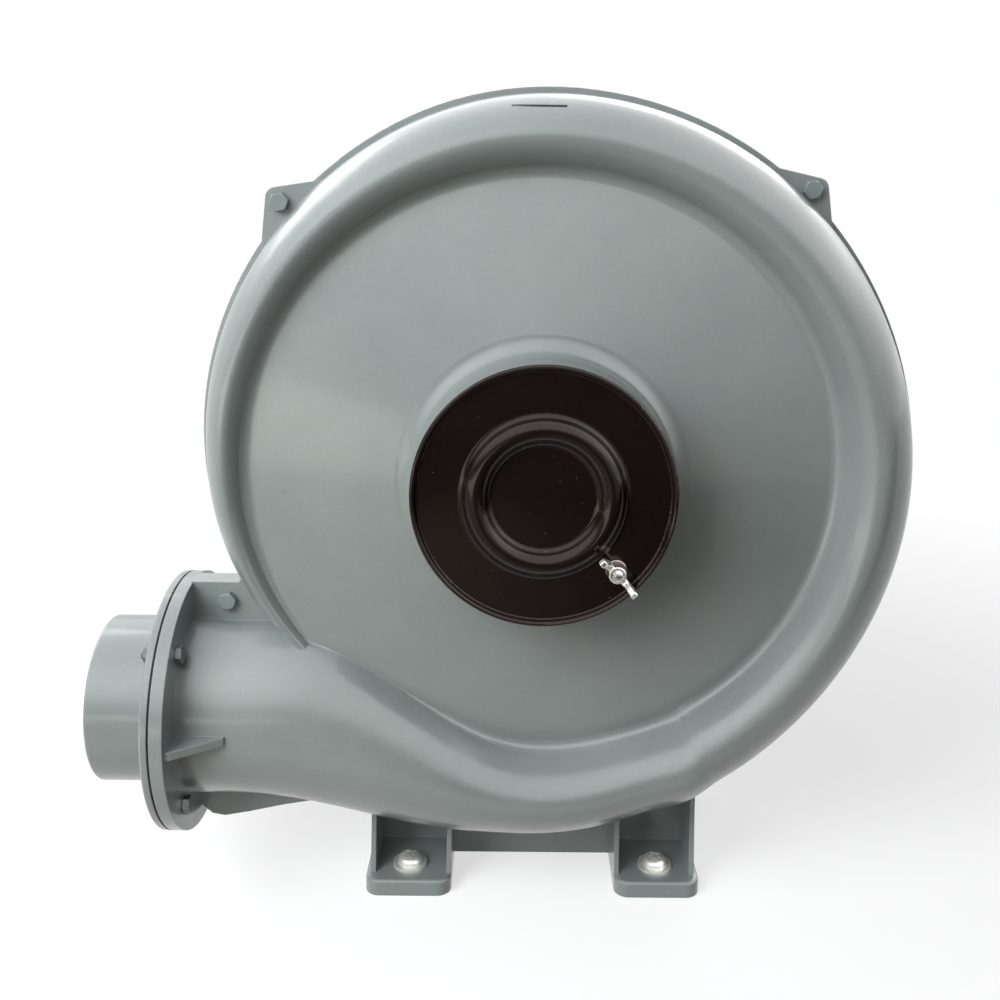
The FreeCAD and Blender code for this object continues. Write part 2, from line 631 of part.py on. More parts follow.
def blade(clip):
    """One backward-curved blade between the backplate and the shroud."""
    left, right = [], []
    for i in range(7):
        t = i / 6.0
        radius = 60.0 + (IMPELLER_R - 2.0 - 60.0) * t
        angle = math.radians(58.0 * t ** 0.85)
        half = BLADE_T / 2.0 / radius * 1.25
        left.append(V(radius * math.cos(angle - half), -30, radius * math.sin(angle - half)))
        right.append(V(radius * math.cos(angle + half), -30, radius * math.sin(angle + half)))
    a, b = Part.BSplineCurve(), Part.BSplineCurve()
    a.interpolate(left)
    b.interpolate(list(reversed(right)))
    tip = Part.makeLine(left[-1], right[-1])
    root = Part.makeLine(right[0], left[0])
    wire = Part.Wire([a.toShape(), tip, b.toShape(), root])
    return Part.Face(wire).extrude(V(0, 90, 0)).common(clip)


def impeller():
    """Backplate with hub, blades, shroud with its eye ring, and the parts that hold them on the shaft."""
    front_gap = 5.0

    def shroud_y(radius):
        return face_y(radius) + WALL + front_gap

    tip_r = IMPELLER_R - 1
    root_r = EYE_R + 1
    clip = revolve([(50, BACKPLATE_Y), (tip_r, BACKPLATE_Y), (tip_r, shroud_y(tip_r) + 2),
                    (root_r, shroud_y(root_r) + 2), (50, shroud_y(root_r) + 14)])
    first = blade(clip)
    blades = []
    for i in range(BLADES):
        copy = first.copy()
        copy.rotate(V(0, 0, 0), V(0, 1, 0), 360.0 * i / BLADES)
        blades.append(copy)
    keep("impeller_blades", Part.makeCompound(blades))
    shroud = revolve([(IMPELLER_R, shroud_y(IMPELLER_R)), (IMPELLER_R, shroud_y(IMPELLER_R) + 2),
                      (EYE_R + 1.5, shroud_y(EYE_R + 1.5) + 2), (EYE_R - 2, shroud_y(EYE_R) + 2),
                      (EYE_R - 2, -22), (EYE_R, -22), (EYE_R, shroud_y(EYE_R))])
    keep("impeller_shroud", shroud)
    back = BACKPLATE_Y
    plate = revolve([(SEAT_R, 20), (20, 20), (24, 26), (27, 34), (38, back), (IMPELLER_R, back),
                     (IMPELLER_R, back + 2.5), (40, back + 3), (26, back + 4), (SEAT_R, back + 4)])
    plate = plate.cut(box(-2.5, 2.5, 15, 50, 0, SEAT_R + 2.5))
    keep("impeller_backplate", plate)
    keep("impeller_key", box(-2.5, 2.5, 24, 42, SEAT_R - 2.5, SEAT_R + 2.5))
    keep("impeller_washer", tube(15.0, 5.0, 17.5, 20.0))
    keep("impeller_nut", hex_head(17.0, 9.5, 17.5).cut(rod(5.0, 8, 19)))


def shaft_and_bearings():
    front_y, rear_y = SHIELD_Y + 4, FRAME_END_Y
    shaft = revolve([(0, 5), (4.2, 5), (5.0, 5.8), (5.0, 20), (SEAT_R, 20), (SEAT_R, 46), (SHAFT_R, 46),
                     (SHAFT_R, front_y), (12.5, front_y), (12.5, front_y + 15.3), (16, front_y + 15.3),
                     (16, 244), (12, 244), (12, rear_y - 0.3), (10, rear_y - 0.3), (10, rear_y + 14),
                     (9, rear_y + 14), (9, 312), (8, 313), (0, 313)])
    shaft = shaft.cut(box(-2.5, 2.5, 24, 42, SEAT_R - 2.5, 20))
    keep("shaft", shaft)
    seal = revolve([(SEAL_R, BACK_Y), (SEAL_R, BACK_Y + 7), (SHAFT_R + 3, BACK_Y + 7),
                    (SHAFT_R + 3, BACK_Y + 4), (SHAFT_R + RUN, BACK_Y + 2.5), (SHAFT_R + RUN, BACK_Y + 1.5),
                    (SHAFT_R + 2, BACK_Y)])
    keep("shaft_seal", seal)
    keep("front_bearing", bearing(12.5 + RUN, 26.0, front_y, 15.0))
    keep("rear_bearing", bearing(10.0 + RUN, 23.5, rear_y, 14.0))
    keep("rotor_core", tube(STATOR_IN_R - AIR_GAP, 16.0, 120, 220))


def bearing(inner, outer, y, width):
    """Sealed ball bearing drawn as one ring with recessed seals."""
    step = (outer - inner) * 0.22
    body = tube(outer, inner, y, y + width)
    for recess in (y - 0.2, y + width - 0.8):
        body = body.cut(tube(outer - step, inner + step, recess, recess + 1.0))
    return body


def motor():
    """Flange-mounted fan-cooled motor: shields, finned frame, stator, fan and cowl."""
    frame_in = MOTOR_R - FRAME_WALL
    seat_y = SHIELD_Y + 10
    front = revolve([(SHAFT_R + 3, SHIELD_Y), (MOTOR_FLANGE_R, SHIELD_Y), (MOTOR_FLANGE_R, seat_y),
                     (MOTOR_R, seat_y), (MOTOR_R, FRAME_Y), (frame_in - 2, FRAME_Y),
                     (frame_in - 2, seat_y + 2), (34, seat_y + 2), (32, seat_y + 9), (26, seat_y + 9),
                     (26, SHIELD_Y + 4), (SHAFT_R + 3, SHIELD_Y + 4)])
    bolts = []
    for x, z in motor_bolt_points():
        front = front.cut(rod(M8 + FIT, SHIELD_Y - 1, seat_y + 1, x, z))
        front = front.cut(rod(8.4, seat_y, FRAME_Y + 1, x, z))
        head = hex_head(13.0, seat_y, seat_y + 5.3, x, z, 15)
        bolts.append(head.fuse(rod(M8, MOTOR_BOLT_TIP_Y + 0.5, seat_y + 1, x, z)))
    keep("motor_front_shield", front)
    keep("motor_bolts", Part.makeCompound(bolts))
    frame = tube(MOTOR_R, frame_in, FRAME_Y, FRAME_END_Y)
    fins = []
    for i in range(FINS):
        angle = 360.0 * (i + 0.5) / FINS
        if 50 < angle < 130:
            continue
        fin = box(MOTOR_R - 1, FIN_R, FRAME_Y + 3, FRAME_END_Y - 8, -1.5, 1.5)
        fin.rotate(V(0, 0, 0), V(0, 1, 0), -angle)
        fins.append(fin)
    saddle = box(-44, 44, BOX_Y - 52, BOX_Y + 52, 60, BOX_BASE_Z).cut(rod(MOTOR_R - 2, 0, 400))
    frame = frame.fuse(fins + [saddle]).cut(box(-12, 12, BOX_Y - 12, BOX_Y + 12, 60, 140))
    keep("motor_frame", frame.removeSplitter())
    keep("stator_core", tube(frame_in, STATOR_IN_R, 120, 220))
    windings = []
    for y0, y1 in ((98, 120), (220, 242)):
        windings.append(revolve([(46, y0 + 3), (49, y0), (61, y0), (64, y0 + 3),
                                 (64, y1 - 3), (61, y1), (49, y1), (46, y1 - 3)]))
    keep("stator_windings", Part.makeCompound(windings))
    end = FRAME_END_Y
    rear = revolve([(MOTOR_R, end), (MOTOR_R, end + 14), (30, end + 14), (28, end + 17), (12, end + 17),
                    (12, end + 14), (23.5, end + 14), (23.5, end), (28, end - 4), (32, end),
                    (frame_in - 2, end)])
    lugs = []
    for angle in COWL_SCREW_ANGLES:
        lug = box(MOTOR_R - 3, COWL_R - SHEET, end + 1, end + 13, -7, 7)
        lug.rotate(V(0, 0, 0), V(0, 1, 0), -angle)
        hole = Part.makeCylinder(M5, 30, V(COWL_R - 16, end + 7, 0), V(1, 0, 0))
        hole.rotate(V(0, 0, 0), V(0, 1, 0), -angle)
        lugs.append((lug, hole))
    for lug, hole in lugs:
        rear = rear.fuse(lug.common(rod(COWL_R - SHEET, end, end + 14))).cut(hole)
    keep("motor_rear_shield", rear.removeSplitter())


def fan_and_cowl():
    """Cooling fan on the shaft end and the sheet cowl over it, with its screws."""
    hub = revolve([(9, 284), (16, 284), (16, 288), (52, 292), (52, 294), (16, 296), (16, 308), (9, 308)])
    vanes = []
    for i in range(7):
        vane = box(14, 70, 287, 308, -1.2, 1.2).cut(box(52, 80, 280, 290, -5, 5))
        vane.rotate(V(0, 0, 0), V(0, 1, 0), 360.0 * i / 7)
        vanes.append(vane)
    keep("cooling_fan", hub.fuse(vanes).cut(rod(9.0, 280, 320)).removeSplitter())
    start, end = FRAME_END_Y - 3, COWL_END_Y
    inner = COWL_R - SHEET
    cowl = revolve([(inner, start), (COWL_R, start), (COWL_R, end - 8), (COWL_R - 2.4, end - 2.4),
                    (COWL_R - 8, end), (0, end), (0, end - SHEET), (COWL_R - 8.4, end - SHEET),
                    (inner - 2, end - 3.2), (inner, end - 8.2)])
    slots = []
    for i in range(12):
        slot = box(26, 72, end - 6, end + 2, -2.6, 2.6)
        slot.rotate(V(0, 0, 0), V(0, 1, 0), 30.0 * i)
        slots.append(slot)
    for angle in COWL_SCREW_ANGLES:
        hole = Part.makeCylinder(M5 + FIT, 12, V(COWL_R - 8, FRAME_END_Y + 7, 0), V(1, 0, 0))
        hole.rotate(V(0, 0, 0), V(0, 1, 0), -angle)
        slots.append(hole)
    keep("fan_cowl", cowl.cut(slots))
    screws = []
    for angle in COWL_SCREW_ANGLES:
        screw = revolve([(0, -12), (M5, -12), (M5, 0), (4.6, 0), (4.6, 1.6), (3.4, 3.0), (0, 3.3)])
        screw = turn_to(screw, V(1, 0, 0), V(COWL_R, FRAME_END_Y + 7, 0))
        screw.rotate(V(0, 0, 0), V(0, 1, 0), -angle)
        screws.append(screw)
    keep("cowl_screws", Part.makeCompound(screws))


def terminal_box():
    """Box on the motor with its lid, screws, terminal block and the empty cable gland."""
    z0, z1 = BOX_BASE_Z, BOX_BASE_Z + 36
    shell = box(-42, 42, BOX_Y - 50, BOX_Y + 50, z0, z1)
    shell = shell.makeFillet(6.0, [e for e in shell.Edges if abs(e.Vertexes[0].Z - e.Vertexes[-1].Z) > 30])
    shell = shell.cut(box(-38, 38, BOX_Y - 46, BOX_Y + 46, z0 + 4, z1 + 1))
    corners = [(x, y) for x in (-34, 34) for y in (BOX_Y - 42, BOX_Y + 42)]
    shell = shell.fuse([box(x - 5, x + 5, y - 5, y + 5, z0 + 2, z1) for x, y in corners])
    shell = shell.cut([Part.makeCylinder(M5 - 0.5, 14, V(x, y, z1 - 12), V(0, 0, 1)) for x, y in corners])
    shell = shell.cut(box(-12, 12, BOX_Y - 12, BOX_Y + 12, z0 - 1, z0 + 5))
    shell = shell.cut(Part.makeCylinder(8.0, 10, V(36, BOX_Y, z0 + 18), V(1, 0, 0)))
    keep("terminal_box", shell.removeSplitter())
    lid = box(-43, 43, BOX_Y - 51, BOX_Y + 51, z1, z1 + 6)
    lid = lid.makeFillet(6.0, [e for e in lid.Edges if abs(e.Vertexes[0].Z - e.Vertexes[-1].Z) > 5])
    lid = lid.makeChamfer(1.5, [e for e in lid.Edges if min(v.Z for v in e.Vertexes) > z1 + 5])
    lid = lid.cut([Part.makeCylinder(M5 - 0.5 + FIT, 8, V(x, y, z1 - 1), V(0, 0, 1)) for x, y in corners])
    keep("terminal_lid", lid)
    screws = []
    for x, y in corners:
        screw = revolve([(0, -10), (2.0, -10), (2.0, 0), (3.8, 0), (3.8, 1.4), (2.6, 2.6), (0, 2.8)])
        screw = screw.cut(box(-3, 3, 1.6, 4, -0.5, 0.5))
        screws.append(turn_to(screw, V(0, 0, 1), V(x, y, z1 + 6)))
    keep("lid_screws", Part.makeCompound(screws))
    block = box(-16, 16, BOX_Y - 30, BOX_Y - 14, z0 + 4, z0 + 16)
    studs = [Part.makeCylinder(2.0, 9, V(x, BOX_Y - 22, z0 + 15), V(0, 0, 1)) for x in (-11, 0, 11)]
    keep("terminal_block", block.fuse(studs))
    gland = revolve([(4.5, -6), (8.0, -6), (8.0, 0), (12.0, 0), (12.0, 5), (10.6, 6), (10.6, 16),
                     (8.0, 20), (4.5, 20)])
    keep("cable_gland", turn_to(gland, V(1, 0, 0), V(42, BOX_Y, z0 + 18)))


casing()
outlet()
casing_screws()
foot_screws()
damper()
impeller()
shaft_and_bearings()
motor()
fan_and_cowl()
terminal_box()
os.makedirs("parts", exist_ok=True)
for node, shape in parts.items():
    placed = shape.copy()
    placed.translate(V(0, -REAR_HOLE_Y, SHAFT_HEIGHT))
    placed.exportStep("parts/" + node + ".step")
    print(node, "valid", placed.isValid(), "solids", len(placed.Solids), "volume", round(placed.Volume))
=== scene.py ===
import math

import bmesh
import bpy
from mathutils import Matrix, Vector
from mathutils.bvhtree import BVHTree


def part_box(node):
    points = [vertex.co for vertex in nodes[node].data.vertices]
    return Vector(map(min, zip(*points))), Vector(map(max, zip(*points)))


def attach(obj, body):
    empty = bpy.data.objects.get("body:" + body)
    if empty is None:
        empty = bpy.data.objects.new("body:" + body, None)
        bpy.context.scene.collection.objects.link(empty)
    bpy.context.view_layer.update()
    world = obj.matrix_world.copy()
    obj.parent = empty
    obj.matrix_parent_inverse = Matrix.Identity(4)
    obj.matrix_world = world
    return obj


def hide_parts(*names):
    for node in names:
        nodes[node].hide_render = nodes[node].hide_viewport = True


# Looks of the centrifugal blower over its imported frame, all lengths in metres.
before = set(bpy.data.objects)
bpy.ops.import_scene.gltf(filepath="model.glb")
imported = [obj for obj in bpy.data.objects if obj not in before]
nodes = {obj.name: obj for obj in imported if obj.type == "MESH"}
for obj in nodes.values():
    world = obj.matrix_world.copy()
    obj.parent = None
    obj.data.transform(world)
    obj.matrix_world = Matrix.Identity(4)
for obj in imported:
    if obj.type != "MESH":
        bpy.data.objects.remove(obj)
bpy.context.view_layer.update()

MM = 0.001
SHAFT_Z = 0.281  # height of the shaft line, which runs along Y


# Materials

class Nodes:
    """Short calls for a node tree, in which a value is a socket, a number or a colour."""

    def __init__(self, tree):
        self.tree = tree

    def add(self, kind, **values):
        """Node of that kind; each value is an attribute of it or an input of that name."""
        node = self.tree.nodes.new(kind)
        for key, value in values.items():
            if hasattr(node, key):
                setattr(node, key, value)
            else:
                node.inputs[key.replace("_", " ")].default_value = value
        return node

    def put(self, value, socket):
        if isinstance(value, bpy.types.NodeSocket):
            self.tree.links.new(value, socket)
        elif isinstance(value, tuple):
            socket.default_value = (*value, 1.0)
        else:
            socket.default_value = value

    def math(self, operation, *values):
        node = self.add("ShaderNodeMath", operation=operation)
        for value, socket in zip(values, node.inputs):
            self.put(value, socket)
        return node.outputs[0]

    def split(self, place):
        """X, Y and Z of a place."""
        node = self.add("ShaderNodeSeparateXYZ")
        self.put(place, node.inputs[0])
        return node.outputs

    def step(self, source, start, end, low, high):
        """Low where source is up to start, high where it is past end, smooth between."""
        node = self.add("ShaderNodeMapRange", interpolation_type="SMOOTHSTEP")
        names = ("Value", "From Min", "From Max", "To Min", "To Max")
        for value, name in zip((source, start, end, low, high), names):
            self.put(value, node.inputs[name])
        return node.outputs[0]


class Finish(Nodes):
    """A material whose colour, roughness and relief follow textures in the object's own space."""

    def __init__(self, name, metallic=0.0, coat=0.0, coat_roughness=0.1, specular=0.5):
        self.material = bpy.data.materials.new(name)
        self.material.use_nodes = True
        super().__init__(self.material.node_tree)
        self.shader = self.tree.nodes["Principled BSDF"]
        self.shader.inputs["Metallic"].default_value = metallic
        self.shader.inputs["Coat Weight"].default_value = coat
        self.shader.inputs["Coat Roughness"].default_value = coat_roughness
        self.shader.inputs["Specular IOR Level"].default_value = specular
        self.place = self.add("ShaderNodeTexCoord").outputs["Object"]

    def noise(self, size, detail=3.0, roughness=0.5, stretch=None):
        """Noise whose lumps are about that many metres across."""
        place = self.place
        if stretch:
            mapping = self.add("ShaderNodeMapping")
            mapping.inputs["Scale"].default_value = stretch
            self.put(place, mapping.inputs["Vector"])
            place = mapping.outputs["Vector"]
        node = self.add("ShaderNodeTexNoise", Scale=0.5 / size, Detail=detail, Roughness=roughness)
        self.put(place, node.inputs["Vector"])
        return node.outputs["Fac"]

    def ramp(self, source, *stops):
        """Value along source between two stops, each a position and its value."""
        node = self.add("ShaderNodeValToRGB")
        for point, (position, value) in zip(node.color_ramp.elements, stops):
            point.position = position
            point.color = (value, value, value, 1.0)
        self.put(source, node.inputs["Fac"])
        return node.outputs["Color"]

    def mix(self, amount, low, high, blend="MIX"):
        node = self.add("ShaderNodeMix", data_type="RGBA", blend_type=blend)
        factor, first, second = node.inputs[0], node.inputs[6], node.inputs[7]
        for value, socket in ((amount, factor), (low, first), (high, second)):
            self.put(value, socket)
        return node.outputs[2]

    def specks(self, spacing, size, share):
        """Mask of small dots: cells that far apart, dots of that radius, in that share of cells."""
        cells = self.add("ShaderNodeTexVoronoi", Scale=1.0 / spacing)
        self.put(self.place, cells.inputs["Vector"])
        near = self.math("LESS_THAN", cells.outputs["Distance"], size / spacing)
        number = self.add("ShaderNodeSeparateColor")
        self.put(cells.outputs["Color"], number.inputs["Color"])
        return self.math("MULTIPLY", near, self.math("LESS_THAN", number.outputs[0], share))

    def soft_edges(self, radius):
        """Normal that rounds the sharp edges of a solid; the radius is a length or a socket."""
        node = self.add("ShaderNodeBevel", samples=8)
        self.put(radius, node.inputs["Radius"])
        return node.outputs["Normal"]

    def bump(self, source, height, before=None):
        node = self.add("ShaderNodeBump", Distance=height, Strength=1.0)
        self.put(source, node.inputs["Height"])
        if before is not None:
            self.put(before, node.inputs["Normal"])
        return node.outputs["Normal"]

    def finish(self, colour, roughness, normal=None):
        self.put(colour, self.shader.inputs["Base Color"])
        self.put(roughness, self.shader.inputs["Roughness"])
        if normal is not None:
            self.put(normal, self.shader.inputs["Normal"])
        return self.material


EDGE_RADIUS = 1.1 * MM
SEAM_RADIUS = 9.0 * MM
SEAM_ANGLE = math.radians(60)  # the bead's two lofts meet there, so far below +X
SEAM_REACH = 30.0 * MM
DUST = (0.55, 0.55, 0.52)


def casting_edge(f):
    """Edge radius of a painted casting, wider along the seam of the bead's two lofts."""
    x, _, z = f.split(f.place)
    across = f.math("MULTIPLY", x, math.sin(SEAM_ANGLE))
    down = f.math("MULTIPLY", f.math("SUBTRACT", z, SHAFT_Z), math.cos(SEAM_ANGLE))
    away = f.math("ABSOLUTE", f.math("ADD", across, down))
    share = f.math("DIVIDE", away, SEAM_REACH)
    wider = f.ramp(share, (0.10, SEAM_RADIUS - EDGE_RADIUS), (0.60, 0.0))
    right_side = f.math("GREATER_THAN", x, 0.0)
    return f.math("ADD", f.math("MULTIPLY", wider, right_side), EDGE_RADIUS)


def enamel(name, dark, light, gloss=0.36, has_seam=False):
    """Semi-gloss enamel over a casting: patchy tone, casting waviness, orange peel, grain, dust."""
    f = Finish(name, coat=0.55, coat_roughness=0.12)
    patches = f.ramp(f.noise(0.045, 4.0, 0.6), (0.32, 0.0), (0.68, 1.0))
    fine = f.ramp(f.noise(0.0012, 2.0), (0.35, 0.975), (0.65, 1.015))
    tone = f.mix(1.0, f.mix(patches, dark, light), fine, "MULTIPLY")
    colour = f.mix(f.specks(spacing=0.006, size=0.00022, share=0.16), tone, DUST)
    rough = f.ramp(f.noise(0.02, 5.0, 0.65), (0.3, gloss - 0.07), (0.7, gloss + 0.07))
    relief = f.soft_edges(casting_edge(f) if has_seam else EDGE_RADIUS)
    for size, height in ((0.03, 0.00030), (0.0026, 0.000022), (0.0007, 0.000004)):
        relief = f.bump(f.noise(size, 2.0), height, relief)
    return f.finish(colour, rough, relief)


def gloss_black(name):
    """Glossy black enamel on pressed sheet: fingermarks in the gloss, dust and a few scratches."""
    f = Finish(name, coat=0.15, coat_roughness=0.05, specular=0.25)
    # Painted reflection: a warm tint on the enamel's reflections, standing for the brownish room
    # mirrored in it
    f.shader.inputs["Specular Tint"].default_value = (1.0, 0.84, 0.76, 1.0)
    tone = f.mix(f.noise(0.02), (0.0045, 0.0022, 0.0018), (0.009, 0.005, 0.0042))
    scratches = f.ramp(f.noise(0.0009, 2.0, 0.5, (0.06, 1.0, 1.0)), (0.70, 0.0), (0.74, 0.10))
    scratched = f.mix(scratches, tone, (0.035, 0.03, 0.028))
    dust = f.math("MAXIMUM",
                  f.specks(spacing=0.004, size=0.00018, share=0.30),
                  f.specks(spacing=0.0021, size=0.00010, share=0.22))
    colour = f.mix(dust, scratched, (0.22, 0.20, 0.18))
    fingermarks = f.ramp(f.noise(0.011, 6.0, 0.7), (0.35, 0.10), (0.72, 0.24))
    return f.finish(colour, fingermarks, f.bump(f.noise(0.004, 2.0), 0.00002))


def metal(name, dark, light, rough=(0.22, 0.40), stretch=None, relief=0.00002, metallic=1.0):
    """Bare or plated metal with uneven tone, fine scratches and small pits."""
    f = Finish(name, metallic=metallic)
    tone = f.mix(f.ramp(f.noise(0.004, 4.0, 0.6), (0.3, 0.0), (0.7, 1.0)), dark, light)
    grain = f.noise(0.0006, 3.0, 0.6, stretch)
    shade = f.mix(f.ramp(grain, (0.35, 0.0), (0.65, 1.0)), dark, light)
    spread = f.ramp(f.noise(0.003, 4.0, 0.65), (0.3, rough[0]), (0.7, rough[1]))
    return f.finish(f.mix(0.5, tone, shade), spread, f.bump(grain, relief, f.soft_edges(0.3 * MM)))


def banded(name, dark, light, pitch, axis="Y", metallic=1.0, rough=(0.3, 0.5)):
    """Stacked sheets or wound wire: bands at that pitch across an axis, with uneven edges."""
    f = Finish(name, metallic=metallic)
    bands = f.add("ShaderNodeTexWave", wave_type="BANDS", bands_direction=axis, Distortion=0.6,
                  Detail=2.0, Detail_Scale=2.0, Scale=1.0 / pitch / 3.2)
    f.put(f.place, bands.inputs["Vector"])
    tone = f.mix(bands.outputs["Fac"], dark, light)
    colour = f.mix(f.ramp(f.noise(0.012), (0.4, 0.0), (0.8, 0.35)), tone, dark)
    spread = f.ramp(f.noise(0.004), (0.3, rough[0]), (0.7, rough[1]))
    return f.finish(colour, spread, f.bump(bands.outputs["Fac"], 0.00006))


def moulded(name, dark, light, rough=(0.42, 0.6)):
    """Moulded plastic or rubber with a fine grain and some dust."""
    f = Finish(name, specular=0.4)
    tone = f.mix(f.noise(0.01, 4.0, 0.6), dark, light)
    colour = f.mix(f.specks(spacing=0.003, size=0.00018, share=0.15), tone, (0.20, 0.19, 0.17))
    spread = f.ramp(f.noise(0.006, 4.0), (0.3, rough[0]), (0.7, rough[1]))
    return f.finish(colour, spread, f.bump(f.noise(0.0005, 2.0), 0.00003))


PAINT_DARK = (0.190, 0.218, 0.215)
PAINT_LIGHT = (0.218, 0.248, 0.243)
paint = enamel("casting_enamel", PAINT_DARK, PAINT_LIGHT, has_seam=True)
motor_paint = enamel("motor_enamel", PAINT_DARK, PAINT_LIGHT, 0.40)
black = gloss_black("dish_enamel")
painted_steel = enamel("fastener_enamel", (0.165, 0.205, 0.208), (0.200, 0.240, 0.240), 0.34)
zinc = metal("zinc_plate", (0.38, 0.39, 0.38), (0.60, 0.61, 0.60))
# Painted shade: zinc plate made much darker than the other zinc, standing for the shade the outlet
# bolts and nuts sit in
zinc_painted_shade = metal("zinc_painted_shade", (0.12, 0.13, 0.13), (0.24, 0.25, 0.25), (0.40, 0.60))
bright = metal("bright_zinc", (0.70, 0.70, 0.66), (0.90, 0.90, 0.86), (0.34, 0.52), metallic=0.7)
nickel = metal("wing_nut_plate", (0.78, 0.75, 0.70), (0.95, 0.92, 0.87), (0.28, 0.46),
               relief=0.00003)
cast_aluminium = metal("cast_aluminium", (0.42, 0.43, 0.44), (0.62, 0.63, 0.64), (0.34, 0.52),
                       relief=0.00004)
ground_steel = metal("ground_steel", (0.46, 0.46, 0.47), (0.66, 0.66, 0.67), (0.18, 0.30),
                     (1.0, 8.0, 1.0))
ring_steel = metal("bearing_steel", (0.55, 0.55, 0.56), (0.75, 0.75, 0.76), (0.12, 0.24))
sheets = banded("laminations", (0.16, 0.16, 0.17), (0.38, 0.38, 0.40), 0.5 * MM)
copper = banded("wound_copper", (0.25, 0.07, 0.02), (0.72, 0.30, 0.12), 1.1 * MM, "DIAGONAL",
                0.85, (0.25, 0.4))
rubber = moulded("rubber", (0.010, 0.010, 0.011), (0.026, 0.026, 0.027), (0.55, 0.75))
plastic = moulded("black_plastic", (0.012, 0.012, 0.013), (0.024, 0.024, 0.026))
gland_plastic = moulded("gland_plastic", (0.018, 0.018, 0.020), (0.034, 0.034, 0.036), (0.35, 0.5))

MATERIALS = {
    paint: ["front_cover", "rear_casing", "casing_foot", "outlet_spigot"],
    motor_paint: ["motor_front_shield", "motor_frame", "motor_rear_shield", "fan_cowl",
                  "terminal_box", "terminal_lid"],
    painted_steel: ["cover_bolts", "cover_nuts"],
    zinc_painted_shade: ["outlet_bolts", "outlet_nuts"],
    zinc: ["cover_cap_screws", "motor_bolts", "cowl_screws", "lid_screws", "impeller_nut",
           "impeller_washer"],
    bright: ["foot_screws", "foot_washers"],
    nickel: ["wing_nut", "stud_washer", "damper_stud"],
    black: ["damper_dish"],
    cast_aluminium: ["impeller_blades", "impeller_shroud", "impeller_backplate"],
    ground_steel: ["shaft", "impeller_key"],
    ring_steel: ["front_bearing", "rear_bearing"],
    sheets: ["rotor_core", "stator_core"],
    copper: ["stator_windings"],
    rubber: ["outlet_gasket", "shaft_seal"],
    plastic: ["cooling_fan", "terminal_block"],
    gland_plastic: ["cable_gland"],
}
for material, names in MATERIALS.items():
    for name in names:
        mesh = nodes[name].data
        mesh.materials.clear()
        mesh.materials.append(material)


# Pieces

def smooth_object(mesh, material):
    """Object with the mesh's name, smooth all over, in that material."""
    obj = bpy.data.objects.new(mesh.name, mesh)
    bpy.context.scene.collection.objects.link(obj)
    mesh.materials.clear()
    mesh.materials.append(material)
    for polygon in mesh.polygons:
        polygon.use_smooth = True
    return obj


def forged_wing_nut():
    """Wing nut as forged: the solid's own outline with every edge and root melted together."""
    mesh = bpy.data.meshes.new("forged_wing_nut")
    shape = bmesh.new()
    shape.from_mesh(nodes["wing_nut"].data)
    bmesh.ops.remove_doubles(shape, verts=shape.verts, dist=1e-6)
    shape.to_mesh(mesh)
    shape.free()
    obj = smooth_object(mesh, nickel)
    skin = obj.modifiers.new("skin", "REMESH")
    skin.mode = "VOXEL"
    skin.voxel_size = 0.28 * MM
    skin.use_smooth_shade = True
    melt = obj.modifiers.new("melt", "SMOOTH")
    melt.factor = 0.5
    melt.iterations = 7
    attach(obj, "wing_nut")
    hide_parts("wing_nut")


CREST, ROOT, THREAD_PITCH = 3.0 * MM, 2.42 * MM, 1.0 * MM  # M6
CHAMFER = 0.9 * MM
THREAD_SIDES = 40
ROWS_PER_TURN = 8
FLANK = 1.25  # above 1, which leaves a narrow land along the crest


def threaded_stud():
    """M6 stud with its thread cut as a helix, its end chamfered."""
    low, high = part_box("damper_stud")
    centre_x, centre_z = (low.x + high.x) / 2, (low.z + high.z) / 2
    rows = int((high.y - low.y) / THREAD_PITCH * ROWS_PER_TURN)
    verts, faces = [], []
    for row in range(rows + 1):
        y = low.y + (high.y - low.y) * row / rows
        for k in range(THREAD_SIDES):
            turn = 2 * math.pi * k / THREAD_SIDES
            phase = ((y - low.y) / THREAD_PITCH - k / THREAD_SIDES) % 1.0
            height = min(1.0, FLANK * (1.0 - abs(2.0 * phase - 1.0)))
            radius = min(ROOT + (CREST - ROOT) * height, CREST - CHAMFER + (y - low.y))
            verts.append((centre_x + radius * math.cos(turn), y,
                          centre_z + radius * math.sin(turn)))
    for row in range(rows):
        for k in range(THREAD_SIDES):
            a = row * THREAD_SIDES + k
            b = row * THREAD_SIDES + (k + 1) % THREAD_SIDES
            faces.append((a, b, b + THREAD_SIDES, a + THREAD_SIDES))
    faces.append(tuple(range(THREAD_SIDES)))
    faces.append(tuple(reversed(range(rows * THREAD_SIDES, (rows + 1) * THREAD_SIDES))))
    mesh = bpy.data.meshes.new("threaded_stud")
    mesh.from_pydata(verts, [], faces)
    shape = bmesh.new()
    shape.from_mesh(mesh)
    bmesh.ops.recalc_face_normals(shape, faces=shape.faces)
    shape.to_mesh(mesh)
    shape.free()
    obj = smooth_object(mesh, zinc)
    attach(obj, "casing")
    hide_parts("damper_stud")


COVE_START, COVE_END = -120.0, 222.0  # degrees round the shaft from +X, from the tongue on
COVE_STEPS, COVE_SEGMENTS = 240, 8
COVE_TAPER = 24.0  # steps over which each end of the fillet grows
COVE_INWARD, COVE_RISE = 6.0 * MM, 9.0 * MM  # reach over the face and up the bead
FACE_INNER, FACE_OUTER = 0.138, 0.148  # two radii on the conical face, inside the crease
CREASE_LIMIT = 0.20
STRIDE = 0.25 * MM


